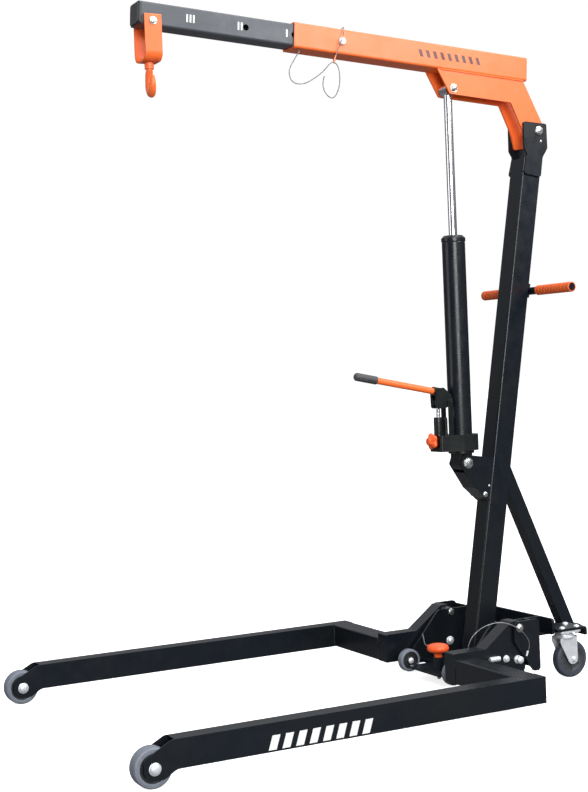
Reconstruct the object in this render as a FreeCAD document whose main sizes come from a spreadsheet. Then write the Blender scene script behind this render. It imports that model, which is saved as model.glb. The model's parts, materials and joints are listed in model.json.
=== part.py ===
import FreeCAD, Part
import math
import os

# Folding workshop hoist crane. Millimetres. The crane faces -Y, +X is its left side, +Z is up.
# Stations along the crane are counted from the front wheels' axle; the sheet's axle_y moves
# that axle to its place in the frame, whose origin lies on the floor under the middle.

V = FreeCAD.Vector
doc = FreeCAD.newDocument("HoistCrane")
sheet = doc.addObject("Spreadsheet::Sheet", "Sizes")

SIZES = [
    ("axle_y", -828, "front wheels' axle, from the frame's origin"),
    ("leg_out", 556, "outer face of a leg, from the middle"),
    ("leg_wide", 52, "leg tube across"),
    ("leg_low", 41, "underside of the leg tubes"),
    ("leg_tall", 72.5, "leg tube height"),
    ("tube_wall", 3, "wall of the leg and mast tubes"),
    ("cross_front", 1077, "front face of the cross tubes"),
    ("cross_deep", 72, "cross tube, front to back"),
    ("arm_in", 166, "inner face of a leg's hinge arm"),
    ("arm_wide", 50, "hinge arm across"),
    ("fold_y", 1308, "fold hinge of the legs"),
    ("fold_z", 180, "fold hinge height"),
    ("front_wheel_rad", 50, "front wheel"),
    ("front_wheel_wide", 40, "front wheel"),
    ("side_in", 144, "inner face of a base side plate"),
    ("plate_thick", 8, "base plates"),
    ("park_y", 1132, "axle of the small parking wheels"),
    ("park_z", 50, "axle height of the small parking wheels"),
    ("park_rad", 35, "small parking wheel"),
    ("caster_x", 192, "caster swivel, from the middle"),
    ("caster_y", 1498, "caster swivel"),
    ("caster_rad", 57.5, "caster wheel"),
    ("caster_trail", 18, "caster axle behind its swivel"),
    ("mast_foot_y", 1293, "mast's centre line at floor level"),
    ("mast_lean", 9.65, "mast leans back, degrees"),
    ("mast_side", 70, "mast tube"),
    ("boom_pivot_y", 1587, "boom pivot"),
    ("boom_pivot_z", 1702, "boom pivot"),
    ("boom_rise", 3.6, "boom's slope at rest, degrees"),
    ("boom_side", 74, "outer boom tube"),
    ("boom_wall", 4, "outer boom tube"),
    ("boom_mid", 190.5, "boom's middle line above its pivot"),
    ("boom_tail", 45, "rear end of the outer tube, forward of the pivot"),
    ("boom_mouth", 872, "front end of the outer tube"),
    ("inner_side", 64, "sliding boom"),
    ("inner_tail", 590, "rear end of the sliding boom"),
    ("inner_tip", 1342, "front end of the sliding boom's tube"),
    ("strap_along", 1312, "cross bolt of the hook's strap, forward of the pivot"),
    ("strap_above", 169, "the same bolt above the pivot's line"),
    ("hook_turn", -10, "degrees that the hook is turned in its strap at rest"),
    ("hole_step", 155, "between two stops of the sliding boom"),
    ("lock_along", 715, "boom lock pin, forward of the pivot"),
    ("ram_y", 1276, "ram's axis"),
    ("ram_low_z", 668, "ram's lower pivot"),
    ("ram_top_z", 1822, "ram's upper pivot"),
    ("ram_rad", 36, "ram cylinder"),
    ("rod_rad", 13, "ram rod"),
    ("bolt_rad", 8, "large bolts"),
]
for row, (name, size, note) in enumerate(SIZES, start=1):
    sheet.set(f"A{row}", name)
    sheet.set(f"B{row}", str(size))
    sheet.set(f"C{row}", note)
    sheet.setAlias(f"B{row}", name)
doc.recompute()

SIZE = {name: size for name, size, note in SIZES}
AXLE = SIZE["axle_y"]
nodes = []


# ---------------------------------------------------------------- helpers

def at(x, y, z):
    """A point given by its station y, counted from the front axle."""
    return V(x, y + AXLE, z)


def keep(obj, label):
    """Names a finished sub-part and puts it on the list to write."""
    obj.Label = label
    nodes.append(obj)
    return obj


def rounded_wire(corners, shift=(0, 0)):
    """Lines and tangent arcs through corners (a, b) or (a, b, radius), closed."""
    points = [V(c[0] + shift[0], c[1] + shift[1], 0) for c in corners]
    radii = [c[2] if len(c) > 2 else 0 for c in corners]
    count = len(points)
    starts = []
    ends = []
    arcs = []
    for i in range(count):
        back = points[i - 1] - points[i]
        ahead = points[(i + 1) % count] - points[i]
        if radii[i] == 0:
            starts.append(points[i])
            ends.append(points[i])
            arcs.append(None)
            continue
        half = back.getAngle(ahead) / 2
        cut = radii[i] / math.tan(half)
        back.normalize()
        ahead.normalize()
        middle = back + ahead
        middle.normalize()
        centre = points[i] + middle * (radii[i] / math.sin(half))
        starts.append(points[i] + back * cut)
        ends.append(points[i] + ahead * cut)
        arcs.append(centre - middle * radii[i])
    pieces = []
    for i in range(count):
        if arcs[i] is not None:
            pieces.append(Part.Arc(starts[i], arcs[i], ends[i]))
        after = starts[(i + 1) % count]
        if (after - ends[i]).Length > 1e-6:
            pieces.append(Part.LineSegment(ends[i], after))
    return pieces


def sketch_on(body, role, wires, offset, circles):
    """A sketch on one of the body's own planes, with closed wires and round holes."""
    plane = [f for f in body.Origin.OriginFeatures if f.Role == role][0]
    sketch = body.newObject("Sketcher::SketchObject", "Outline")
    sketch.AttachmentSupport = [(plane, "")]
    sketch.MapMode = "FlatFace"
    sketch.AttachmentOffset = FreeCAD.Placement(V(0, 0, offset), FreeCAD.Rotation())
    for wire in wires:
        for piece in wire:
            sketch.addGeometry(piece, False)
    for a, b, radius in circles:
        sketch.addGeometry(Part.Circle(V(a, b, 0), V(0, 0, 1), radius), False)
    return sketch


def pad(role, wires, offset, length, circles=()):
    """A body padded from a sketch; length is a number or an expression on the sheet."""
    body = doc.addObject("PartDesign::Body", "Body")
    sketch = sketch_on(body, role, wires, offset, circles)
    feature = body.newObject("PartDesign::Pad", "Pad")
    feature.Profile = sketch
    if isinstance(length, str):
        feature.setExpression("Length", length)
    else:
        feature.Length = length
    body.Tip = feature
    sketch.Visibility = False
    return body


def side_plate(corners, x_low, length, circles=()):
    """A flat piece whose outline is drawn from the side, stations and heights."""
    wire = rounded_wire(corners, (AXLE, 0))
    rounds = [(y + AXLE, z, r) for y, z, r in circles]
    return pad("YZ_Plane", [wire], x_low, length, rounds)


def floor_plate(corners, z_low, length, circles=()):
    """A flat piece whose outline is drawn from above."""
    wire = rounded_wire(corners, (0, AXLE))
    rounds = [(x, y + AXLE, r) for x, y, r in circles]
    return pad("XY_Plane", [wire], z_low, length, rounds)


def cross_plate(corners, y_front, length, circles=()):
    """A flat piece whose outline is drawn from the front, its front face at y_front."""
    depth = SIZE[length.split(".")[1]] if isinstance(length, str) else length
    wire = rounded_wire(corners)
    return pad("XZ_Plane", [wire], -(y_front + AXLE + depth), length, circles)


def square_wires(wide, tall, wall, bend):
    """The two outlines of a box tube around the sketch's origin."""
    def frame(a, b, r):
        return rounded_wire([(-a, -b, r), (a, -b, r), (a, b, r), (-a, b, r)])
    outer = frame(wide / 2, tall / 2, bend)
    inner = frame(wide / 2 - wall, tall / 2 - wall, max(bend - wall, 1))
    return [outer, inner]


def place(obj, point, axis=V(0, 0, 1), degrees=0.0):
    obj.Placement = FreeCAD.Placement(point, FreeCAD.Rotation(axis, degrees))
    return obj


def turned(profile, point, direction):
    """A body of revolution from (radius, along) points, its axis along direction."""
    body = doc.addObject("PartDesign::Body", "Body")
    sketch = sketch_on(body, "XZ_Plane", [rounded_wire(profile)], 0, ())
    feature = body.newObject("PartDesign::Revolution", "Turned")
    feature.Profile = sketch
    feature.ReferenceAxis = (sketch, ["V_Axis"])
    feature.Angle = 360
    body.Tip = feature
    sketch.Visibility = False
    body.Placement = FreeCAD.Placement(point, FreeCAD.Rotation(V(0, 0, 1), direction))
    return body


def box(low, high):
    solid = doc.addObject("Part::Box", "Block")
    solid.Length = high.x - low.x
    solid.Width = high.y - low.y
    solid.Height = high.z - low.z
    solid.Placement.Base = low
    return solid


def rod(start, end, radius):
    """A cylinder between two points; radius is a number or an expression on the sheet."""
    solid = doc.addObject("Part::Cylinder", "Round")
    if isinstance(radius, str):
        solid.setExpression("Radius", radius)
    else:
        solid.Radius = radius
    solid.Height = (end - start).Length
    solid.Placement = FreeCAD.Placement(start, FreeCAD.Rotation(V(0, 0, 1), end - start))
    return solid


def cut(base, *tools):
    for tool in tools:
        result = doc.addObject("Part::Cut", "Cut")
        result.Base = base
        result.Tool = tool
        base = result
    return base


def fuse(*solids):
    result = doc.addObject("Part::MultiFuse", "Joined")
    result.Shapes = list(solids)
    return result


def group(*solids):
    result = doc.addObject("Part::Compound", "Group")
    result.Links = list(solids)
    return result


def mirrored(obj):
    result = doc.addObject("Part::Mirroring", "Mirrored")
    result.Source = obj
    result.Normal = V(1, 0, 0)
    return result


def bolt(start, end, head_rad, head_tall, radius="Sizes.bolt_rad"):
    """A dome-head bolt with a nut: the shank runs from start to end, head beyond start."""
    away = (start - end).normalize()
    dome = [(0, 0), (head_rad, 0), (head_rad, head_tall * 0.35),
            (head_rad * 0.55, head_tall), (0, head_tall)]
    head = turned(dome, start, away)
    nut_rad = head_rad * 0.92
    hexagon = [(nut_rad * math.cos(math.radians(60 * k)), nut_rad * math.sin(math.radians(60 * k)))
               for k in range(6)]
    nut = pad("XY_Plane", [rounded_wire(hexagon)], 0, head_tall * 1.1)
    nut.Placement = FreeCAD.Placement(end, FreeCAD.Rotation(V(0, 0, 1), away * -1))
    return fuse(head, rod(start, end, radius), nut)


# ---------------------------------------------------------------- legs

def leg_tube():
    """The long tube of the left leg, its front end cut to two cheeks around the wheel."""
    low = SIZE["leg_low"]
    top = low + SIZE["leg_tall"]
    rear = SIZE["cross_front"] + SIZE["cross_deep"]
    inner = SIZE["leg_out"] - SIZE["leg_wide"]
    wall = SIZE["tube_wall"]
    outline = [(rear, low), (rear, top), (46, top, 25), (-28, 74, 16), (-28, 22, 25),
               (26, 22, 18), (56, low, 30)]
    solid = side_plate(outline, inner, "Sizes.leg_wide", [(0, 50, 6.3)])
    hollow = box(at(inner + wall, 48, low + wall),
                 at(SIZE["leg_out"] - wall, rear - wall, top - wall))
    fork = box(at(inner + wall, -60, 0), at(SIZE["leg_out"] - wall, 54, 130))
    return cut(solid, hollow, fork)


def cross_tube():
    """The left cross tube, from the leg to the hinge arm."""
    wires = square_wires(SIZE["cross_deep"], SIZE["leg_tall"], SIZE["tube_wall"], 5)
    outer_end = SIZE["leg_out"] - SIZE["leg_wide"]
    inner_end = SIZE["arm_in"] + SIZE["arm_wide"]
    body = pad("YZ_Plane", wires, 0, outer_end - inner_end)
    middle_y = SIZE["cross_front"] + SIZE["cross_deep"] / 2
    middle_z = SIZE["leg_low"] + SIZE["leg_tall"] / 2
    return place(body, at(inner_end, middle_y, middle_z))


def hinge_arm():
    """The left leg's welded arm, from the cross tube back and up to the fold hinge."""
    front = SIZE["cross_front"]
    fold_y = SIZE["fold_y"]
    fold_z = SIZE["fold_z"]
    x_low = SIZE["arm_in"]
    outline = [(front, 41), (front, 129, 4), (1190, 129, 6), (1286, 200, 10),
               (fold_y + 20, fold_z + 20, 19.5), (fold_y + 20, 41, 14)]
    holes = [(fold_y, fold_z, 8.05), (1302, 86, 6.3)]
    solid = side_plate(outline, x_low, "Sizes.arm_wide", holes)
    inside = [(front + 5, 46), (front + 5, 124), (1188, 124), (1262, 178), (1285, 160),
              (1282, 46)]
    hollow = side_plate(inside, x_low + 5, SIZE["arm_wide"] - 10)
    return cut(solid, hollow)


def wheel_axle():
    """Axle bolt of the left front wheel, with its domed caps."""
    outer = SIZE["leg_out"]
    inner = outer - SIZE["leg_wide"]
    dome = [(0, 0), (16, 0), (15.2, 4, 2), (8, 8, 3), (0, 8)]
    near = turned(dome, at(outer, 0, 50), V(1, 0, 0))
    far = turned(dome, at(inner, 0, 50), V(-1, 0, 0))
    return fuse(near, far, rod(at(inner, 0, 50), at(outer, 0, 50), 6))


def front_tyre():
    """Grey rubber tread of the left front wheel."""
    rad = SIZE["front_wheel_rad"]
    half = SIZE["front_wheel_wide"] / 2
    middle = SIZE["leg_out"] - SIZE["leg_wide"] / 2
    ring = [(36, -half), (rad - 3, -half, 3), (rad, -half + 8, 9), (rad, half - 8, 9),
            (rad - 3, half, 3), (36, half)]
    return turned(ring, at(middle, 0, 50), V(1, 0, 0))


def front_hub():
    """Black hub of the left front wheel, a dished disc around a plain bore."""
    half = SIZE["front_wheel_wide"] / 2
    middle = SIZE["leg_out"] - SIZE["leg_wide"] / 2
    disc = [(6.05, -half - 1), (15, -half - 1), (15, -half + 7), (28, -half + 7),
            (30, -half + 1), (35.95, -half + 1), (35.95, half - 1), (30, half - 1),
            (28, half - 7), (15, half - 7), (15, half + 1), (6.05, half + 1)]
    return turned(disc, at(middle, 0, 50), V(1, 0, 0))


def leg_lock_pin():
    """Lock pin of the left leg: shank, collar and domed pull head."""
    profile = [(0, 154), (4.5, 154), (6.25, 157), (6.25, 216.4), (12.5, 216.4, 1),
               (12.5, 221, 1), (7, 221), (7, 229), (11, 231, 1), (11, 235, 2), (5, 240, 3),
               (0, 240)]
    return turned(profile, at(0, 1302, 86), V(1, 0, 0))


for name, make in (("tube", leg_tube), ("cross_tube", cross_tube), ("hinge_arm", hinge_arm),
                   ("wheel_axle", wheel_axle), ("lock_pin", leg_lock_pin)):
    left = keep(make(), "left_leg_" + name)
    keep(mirrored(left), "right_leg_" + name)
for name, make in (("tyre", front_tyre), ("hub", front_hub)):
    left = keep(make(), "left_front_" + name)
    keep(mirrored(left), "right_front_" + name)


# ---------------------------------------------------------------- base

def base_side():
    """Left side plate of the base, from the parking wheel's axle back to the rear plate."""
    outline = [(1112, 31, 19), (1112, 71, 18), (1160, 74, 20), (1262, 190, 14), (1437, 190),
               (1437, 128, 8), (1378, 128, 8), (1378, 31, 12)]
    holes = [(SIZE["park_y"], SIZE["park_z"], 6.3), (SIZE["fold_y"], SIZE["fold_z"], 8.05)]
    return side_plate(outline, SIZE["side_in"], "Sizes.plate_thick", holes)


def fold_lug():
    """Outer lug that carries the left fold hinge, on a web that faces forward."""
    fold_y = SIZE["fold_y"]
    fold_z = SIZE["fold_z"]
    outline = [(fold_y - 20, 140, 12), (fold_y - 20, fold_z + 20, 19.5), (1380, fold_z + 20, 12),
               (1380, 45, 10), (1356, 45, 8)]
    lug = side_plate(outline, 218, "Sizes.plate_thick", [(fold_y, fold_z, 8.05)])
    web = box(at(152, 1372, 50), at(218, 1380, 192))
    return fuse(lug, web)


def floor_of_base():
    """Floor plate between the side plates, with a tongue for the parking pin."""
    outline = [(-70, 1437), (-70, 1400, 8), (-144, 1372, 6), (-144, 1192, 6), (-86, 1192, 8),
               (-86, 1108, 10), (86, 1108, 10), (86, 1192, 8), (144, 1192, 6), (144, 1372, 6),
               (70, 1400, 8), (70, 1437)]
    plate = floor_plate(outline, 34, "Sizes.plate_thick", [(34, 1140, 6.08)])
    sleeve = cut(rod(at(34, 1140, 42), at(34, 1140, 84), 15),
                 rod(at(34, 1140, 41), at(34, 1140, 85), 6.08))
    return fuse(plate, sleeve)


def rear_of_base():
    """Rear plate across the base, facing forward."""
    outline = [(-70, 34), (70, 34), (70, 142, 8), (215, 142, 6), (215, 190, 8),
               (-215, 190, 8), (-215, 142, 6), (-70, 142, 8)]
    return cross_plate(outline, 1437, "Sizes.plate_thick")


def caster_shelf():
    """Left half of the shelf over the casters: a plate whose rear edge is bent down."""
    outline = [(1445, 150), (1548, 150, 3), (1548, 131), (1556, 131, 2), (1556, 158, 10),
               (1445, 158)]
    plate = side_plate(outline, 142, 89)
    holes = [rod(at(SIZE["caster_x"] + dx, SIZE["caster_y"] + dy, 140),
                 at(SIZE["caster_x"] + dx, SIZE["caster_y"] + dy, 160), 5.2)
             for dx in (-27, 27) for dy in (-27, 27)]
    return cut(plate, *holes)


def brace_foot():
    """Channel, open below, that runs back from the rear plate and carries the brace."""
    outline = [(1445, 101), (1706, 101, 2), (1706, 110, 5), (1684, 122, 10), (1445, 122)]
    bar = side_plate(outline, -30, 60)
    return cut(bar, box(at(-26, 1440, 95), at(26, 1676, 118)))


def caster_bolts():
    """The eight dome-head bolts that hold the two caster plates."""
    heads = []
    for side in (-1, 1):
        for dx in (-27, 27):
            for dy in (-27, 27):
                x = side * (SIZE["caster_x"] + dx)
                y = SIZE["caster_y"] + dy
                heads.append(bolt(at(x, y, 158), at(x, y, 144), 9, 6, 5.15))
    return group(*heads)


left = keep(base_side(), "base_side_left")
keep(mirrored(left), "base_side_right")
left = fold_lug()
keep(group(left, mirrored(left)), "fold_lugs")
keep(floor_of_base(), "base_floor")
keep(rear_of_base(), "base_rear_plate")
left = caster_shelf()
keep(group(left, mirrored(left)), "caster_shelf")
keep(brace_foot(), "brace_foot")
keep(caster_bolts(), "caster_bolts")



def fold_bolt():
    """Fold hinge bolt of the left leg, with the spacer between base and arm."""
    fold_y = SIZE["fold_y"]
    fold_z = SIZE["fold_z"]
    plain = bolt(at(226, fold_y, fold_z), at(SIZE["side_in"], fold_y, fold_z), 13, 8)
    return fuse(plain, rod(at(152, fold_y, fold_z), at(165.5, fold_y, fold_z), 14))


left = fold_bolt()
fold_bolts = [left, mirrored(left)]


def parking_wheel():
    """Small left wheel that the crane stands on when its legs are folded up."""
    rad = SIZE["park_rad"]
    profile = [(6.05, -12), (12, -12), (12, -8), (24, -8), (27, -12), (rad - 3, -12, 2.5),
               (rad, -8, 3), (rad, 8, 3), (rad - 3, 12, 2.5), (27, 12), (24, 8), (12, 8),
               (12, 12), (6.05, 12)]
    return turned(profile, at(124, SIZE["park_y"], SIZE["park_z"]), V(1, 0, 0))


def parking_axle():
    """Shoulder bolt of the left parking wheel: a dome inside the base, a nut outside it."""
    y = SIZE["park_y"]
    z = SIZE["park_z"]
    plain = bolt(at(111.5, y, z), at(152, y, z), 10, 6, 6)
    return fuse(plain, rod(at(136.5, y, z), at(144, y, z), 10))


left = keep(parking_wheel(), "parking_wheel_left")
keep(mirrored(left), "parking_wheel_right")
left = parking_axle()
parking_axles = [left, mirrored(left)]


def parking_pin():
    """Orange-knobbed pin in the tongue of the floor plate."""
    knob = [(0, 84.4), (12, 84.4), (12, 92, 3), (15, 99, 2), (29, 102, 4), (34, 110, 6),
            (30, 121, 7), (14, 125, 8), (0, 126)]
    pin = [(0, 17), (4.5, 17), (6, 20), (6, 85), (0, 85)]
    return fuse(turned(knob, at(34, 1140, 0), V(0, 0, 1)),
                turned(pin, at(34, 1140, 0), V(0, 0, 1)))


keep(parking_pin(), "parking_pin")


# ---------------------------------------------------------------- casters

def caster_stand(side):
    """A caster's own frame: on the floor under its swivel, its trail along +Y."""
    return FreeCAD.Placement(at(side * SIZE["caster_x"], SIZE["caster_y"], 0),
                             FreeCAD.Rotation())


def caster_mount(side):
    """Top plate and upper bearing race of a caster."""
    x = side * SIZE["caster_x"]
    y = SIZE["caster_y"]
    corners = [(x - 38, y - 38, 8), (x + 38, y - 38, 8), (x + 38, y + 38, 8),
               (x - 38, y + 38, 8)]
    plate = floor_plate(corners, 144, 6, [(x + dx, y + dy, 5.2)
                                          for dx in (-27, 27) for dy in (-27, 27)])
    race = turned([(0, 134), (8, 134), (8, 137), (25, 137, 2), (28.5, 144.5), (0, 144.5)],
                  at(x, y, 0), V(0, 0, 1))
    return fuse(plate, race)


def caster_fork(side):
    """Zinc fork of a caster: a dished crown and two tapering legs to the axle."""
    axle = SIZE["caster_rad"]
    trail = SIZE["caster_trail"]
    crown = turned([(8.05, 124), (33, 124, 2), (33, 130), (27.6, 136.6), (8.05, 136.6)],
                   V(0, 0, 0), V(0, 0, 1))
    cheek = [(-31, 130, 3), (33, 130, 3), (33, 43, 15), (3, 43, 12), (-3, 57, 10),
             (-31, 113, 8)]
    legs = []
    for x_low in (-22, 18):
        legs.append(pad("YZ_Plane", [rounded_wire(cheek)], x_low, 4))
    bridge = box(V(-22, -30, 124), V(22, 32, 128))
    axle_bolt = bolt(V(22, trail, axle), V(-22, trail, axle), 9, 5, 6)
    whole = fuse(crown, cut(fuse(*legs, bridge), rod(V(0, 0, 110), V(0, 0, 140), 8.05)),
                 axle_bolt)
    whole.Placement = caster_stand(side)
    return whole


def caster_tyre(side):
    """Dark rubber tyre of a caster wheel."""
    rad = SIZE["caster_rad"]
    ring = [(42, -15), (rad - 4, -15, 4), (rad, -8, 8), (rad, 8, 8), (rad - 4, 15, 4), (42, 15)]
    body = turned(ring, V(0, SIZE["caster_trail"], rad), V(1, 0, 0))
    body.Placement = caster_stand(side).multiply(body.Placement)
    return body


def caster_hub(side):
    """Grey hub of a caster wheel around its plain bore."""
    disc = [(6.05, -17.5), (13, -17.5), (13, -7), (36, -7), (38, -13), (41.95, -13),
            (41.95, 13), (38, 13), (36, 7), (13, 7), (13, 17.5), (6.05, 17.5)]
    body = turned(disc, V(0, SIZE["caster_trail"], SIZE["caster_rad"]), V(1, 0, 0))
    body.Placement = caster_stand(side).multiply(body.Placement)
    return body


keep(group(caster_mount(1), caster_mount(-1)), "caster_mounts")
for side, name in ((1, "left"), (-1, "right")):
    keep(caster_fork(side), "caster_fork_" + name)
    keep(caster_tyre(side), "caster_tyre_" + name)
    keep(caster_hub(side), "caster_hub_" + name)


# ---------------------------------------------------------------- mast

LEAN = FreeCAD.Rotation(V(1, 0, 0), -SIZE["mast_lean"])
LEAN_COS = math.cos(math.radians(SIZE["mast_lean"]))
MAST = FreeCAD.Placement(at(0, SIZE["mast_foot_y"], 0), LEAN)


def mast_tube():
    """The leaning mast, cut level where it stands on the floor plate."""
    half = SIZE["mast_side"] / 2
    bottom = 60
    body = pad("XY_Plane", square_wires(2 * half, 2 * half, SIZE["tube_wall"], 6),
               -bottom, 1634 + bottom)
    body.Placement = MAST
    cap = pad("XY_Plane", [rounded_wire([(-32, -32), (32, -32), (32, 32), (-32, 32)])], 1629, 5)
    cap.Placement = MAST
    below = box(at(-60, 1200, -90), at(60, 1400, 42))
    return cut(fuse(body, cap), below)


def mast_clevis():
    """The two cheeks at the top of the mast that carry the boom pivot."""
    y = SIZE["boom_pivot_y"]
    z = SIZE["boom_pivot_z"]
    outline = [(y - 57, z + 28, 6), (y + 31, z + 23, 6), (y + 32, z - 54, 8), (y + 12, z - 84, 8),
               (y + 2, z - 146, 6), (y - 62, z - 135, 6), (y - 46, z - 76, 8),
               (y - 58, z - 56, 8)]
    left_cheek = side_plate(outline, 35, "Sizes.plate_thick", [(y, z, 8.05)])
    return group(left_cheek, mirrored(left_cheek))


def ram_bracket():
    """Box bracket on the mast's front face: two cheeks and a sloping web."""
    y = SIZE["ram_y"]
    z = SIZE["ram_low_z"]
    face = [SIZE["mast_foot_y"] - 35 / LEAN_COS + math.tan(math.radians(9.65)) * h
            for h in (678, 543)]
    outline = [(y - 12, 695, 3), (face[0], 678), (face[1], 543), (y + 24, 588),
               (y - 25, 664, 10)]
    left_cheek = side_plate(outline, 29, 6, [(y, z, 8.05)])
    web = [(y + 24, 588), (face[1], 543), (face[1] + 1.2, 550), (y + 27.5, 594),
           (y - 1.5, 639), (y - 9, 637.5)]
    plate = side_plate(web, -29, 58)
    return fuse(left_cheek, plate, mirrored(left_cheek))


def mast_brace():
    """Square brace from its foot up to the mast's rear face."""
    mast_slope = math.tan(math.radians(SIZE["mast_lean"]))
    mast_rear = SIZE["mast_foot_y"] + 35 / LEAN_COS
    slope = 0.4346
    front = 1682.5
    wide = 44

    def meets(low):
        height = (low - mast_rear) / (slope + mast_slope)
        return (mast_rear + mast_slope * height, height)
    outline = [(front - slope * 122, 122), (front + wide - slope * 122, 122),
               meets(front + wide), meets(front)]
    inside = [(front + 3.3 - slope * 110, 110), (front + wide - 3.3 - slope * 110, 110),
              (front + wide - 3.3 - slope * 600, 600), (front + 3.3 - slope * 560, 560)]
    return cut(side_plate(outline, -20, 40), side_plate(inside, -17, 34))


def push_handle():
    """Cross bar behind the mast, on its saddle."""
    bar = rod(V(-228, 50.5, 1222), V(228, 50.5, 1222), 12)
    saddle = box(V(-24, 35.2, 1200), V(24, 46, 1244))
    knob = rod(V(0, 60, 1222), V(0, 66, 1222), 9)
    whole = fuse(bar, saddle, knob)
    whole.Placement = MAST
    return whole


def handle_grip():
    """Orange ribbed grip on the left end of the cross bar."""
    ribs = [(12.05, 0), (15.5, 0, 1)]
    along = 6
    while along < 160:
        ribs += [(15.5, along), (14.2, along + 2), (14.2, along + 5), (15.5, along + 7)]
        along += 14
    ribs += [(15.5, 168, 3), (12.05, 168)]
    body = turned(ribs, V(62, 50.5, 1222), V(1, 0, 0))
    body.Placement = MAST.multiply(body.Placement)
    return body


keep(mast_tube(), "mast")
keep(mast_clevis(), "mast_clevis")
keep(ram_bracket(), "ram_bracket")
keep(mast_brace(), "mast_brace")
keep(push_handle(), "push_handle")
left = handle_grip()
keep(group(left, mirrored(left)), "handle_grips")
boom_bolt = bolt(at(43, SIZE["boom_pivot_y"], SIZE["boom_pivot_z"]),
                 at(-43, SIZE["boom_pivot_y"], SIZE["boom_pivot_z"]), 14, 9)
ram_bolt = bolt(at(35, SIZE["ram_y"], SIZE["ram_low_z"]),
                at(-35, SIZE["ram_y"], SIZE["ram_low_z"]), 17, 10)
keep(group(boom_bolt, ram_bolt, *fold_bolts, *parking_axles), "frame_bolts")


# ---------------------------------------------------------------- boom

RISE = math.radians(SIZE["boom_rise"])


def boom_point(x, along, above):
    """A point counted forward along the boom and above the line through its pivot."""
    y = SIZE["boom_pivot_y"] - along * math.cos(RISE) + above * math.sin(RISE)
    z = SIZE["boom_pivot_z"] + along * math.sin(RISE) + above * math.cos(RISE)
    return at(x, y, z)


def boom_stand(along):
    """A frame on the boom's middle line: its +Z forward along the boom, its +X across."""
    forward = V(0, -math.cos(RISE), math.sin(RISE))
    up = V(0, math.sin(RISE), math.cos(RISE))
    turn = FreeCAD.Rotation(V(1, 0, 0), up, forward, "ZXY")
    return FreeCAD.Placement(boom_point(0, along, SIZE["boom_mid"]), turn)


def boom_tube():
    """Outer boom tube, open at the front, capped at the rear."""
    side = SIZE["boom_side"]
    length = SIZE["boom_mouth"] - SIZE["boom_tail"]
    tube = pad("XY_Plane", square_wires(side, side, SIZE["boom_wall"], 6), 0, length)
    cap = pad("XY_Plane", [rounded_wire([(-34, -34), (34, -34), (34, 34), (-34, 34)])], 0, 4)
    whole = fuse(tube, cap)
    whole.Placement = boom_stand(SIZE["boom_tail"])
    lock = rod(boom_point(30, SIZE["lock_along"], SIZE["boom_mid"]),
               boom_point(40, SIZE["lock_along"], SIZE["boom_mid"]), 8.08)
    return cut(whole, lock)


def boom_arm():
    """The two plates under the boom tube that reach down to its pivot."""
    y = SIZE["boom_pivot_y"]
    z = SIZE["boom_pivot_z"]
    under = SIZE["boom_mid"] - SIZE["boom_side"] / 2
    front = boom_point(0, 378, under)
    rear = boom_point(0, 58, under)
    outline = [(front.y - AXLE, front.z), (rear.y - AXLE, rear.z), (y + 31, z + 6, 24),
               (y + 20, z - 44, 24), (1543, 1650, 5), (1531, 1702), (1490, 1788, 6),
               (1262, 1804, 10)]
    plate = side_plate(outline, 28.3, 6.2, [(y, z, 8.05), (SIZE["ram_y"], SIZE["ram_top_z"], 8)])
    return group(plate, mirrored(plate))


def ram_top_bolts():
    """Short bolts in the arm plates at the ram's upper end; the space between stays open."""
    spot = (SIZE["ram_y"], SIZE["ram_top_z"])
    head = turned([(0, 0), (13.5, 0), (12.5, 4, 2), (7, 8, 2), (0, 8)],
                  at(34.5, *spot), V(1, 0, 0))
    left_bolt = fuse(head, rod(at(28.3, *spot), at(34.5, *spot), 8))
    return group(left_bolt, mirrored(left_bolt))


def sliding_boom():
    """Inner boom tube with its stop holes, open at both ends."""
    side = SIZE["inner_side"]
    length = SIZE["inner_tip"] - SIZE["inner_tail"]
    tube = pad("XY_Plane", square_wires(side, side, 4, 6), 0, length)
    tube.Placement = boom_stand(SIZE["inner_tail"])
    tools = []
    for stop in range(3):
        along = SIZE["lock_along"] + stop * SIZE["hole_step"]
        tools.append(rod(boom_point(-40, along, SIZE["boom_mid"]),
                         boom_point(40, along, SIZE["boom_mid"]), 9))
    tools.append(rod(strap_point(-45), strap_point(45), 6.1))
    return cut(tube, *tools)


def strap_point(x):
    """A point on the axis of the strap's cross bolt."""
    return boom_point(x, SIZE["strap_along"], SIZE["strap_above"])


def boom_end_cap():
    """Plastic plug in the sliding boom's front end, with a stepped rim."""
    levels = [(27.7, 4, -12, 12.5), (32, 7, 0, 7), (28.5, 8, 6.5, 4.5)]
    parts = []
    for half, bend, low, tall in levels:
        outline = rounded_wire([(-half, -half, bend), (half, -half, bend), (half, half, bend),
                                (-half, half, bend)])
        parts.append(pad("XY_Plane", [outline], low, tall))
    plug = fuse(*parts)
    plug.Placement = boom_stand(SIZE["inner_tip"])
    return plug


def hook_pin():
    """Cross bolt through the sliding boom's tip, with the collars that centre the strap."""
    plain = bolt(strap_point(42.3), strap_point(-42.3), 12, 7, 6)
    collars = [rod(strap_point(side * 32.4), strap_point(side * 36.7), 10) for side in (-1, 1)]
    return fuse(plain, *collars)


def hook_strap():
    """Orange U-shaped strap that hangs from the cross bolt."""
    pin = strap_point(0)
    top = pin.z + 19.5
    low = pin.z - 107.5
    outer = [(-42, top, 4), (-42, low, 25), (42, low, 25), (42, top, 4),
             (37, top, 1), (37, low + 5, 20), (-37, low + 5, 20), (-37, top, 1)]
    strap = cross_plate(outer, pin.y - AXLE - 25, 50)
    across = rod(V(-45, pin.y, pin.z), V(45, pin.y, pin.z), 6.05)
    down = rod(V(0, pin.y, low - 2), V(0, pin.y, low + 7), 8.55)
    return cut(strap, across, down)


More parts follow.
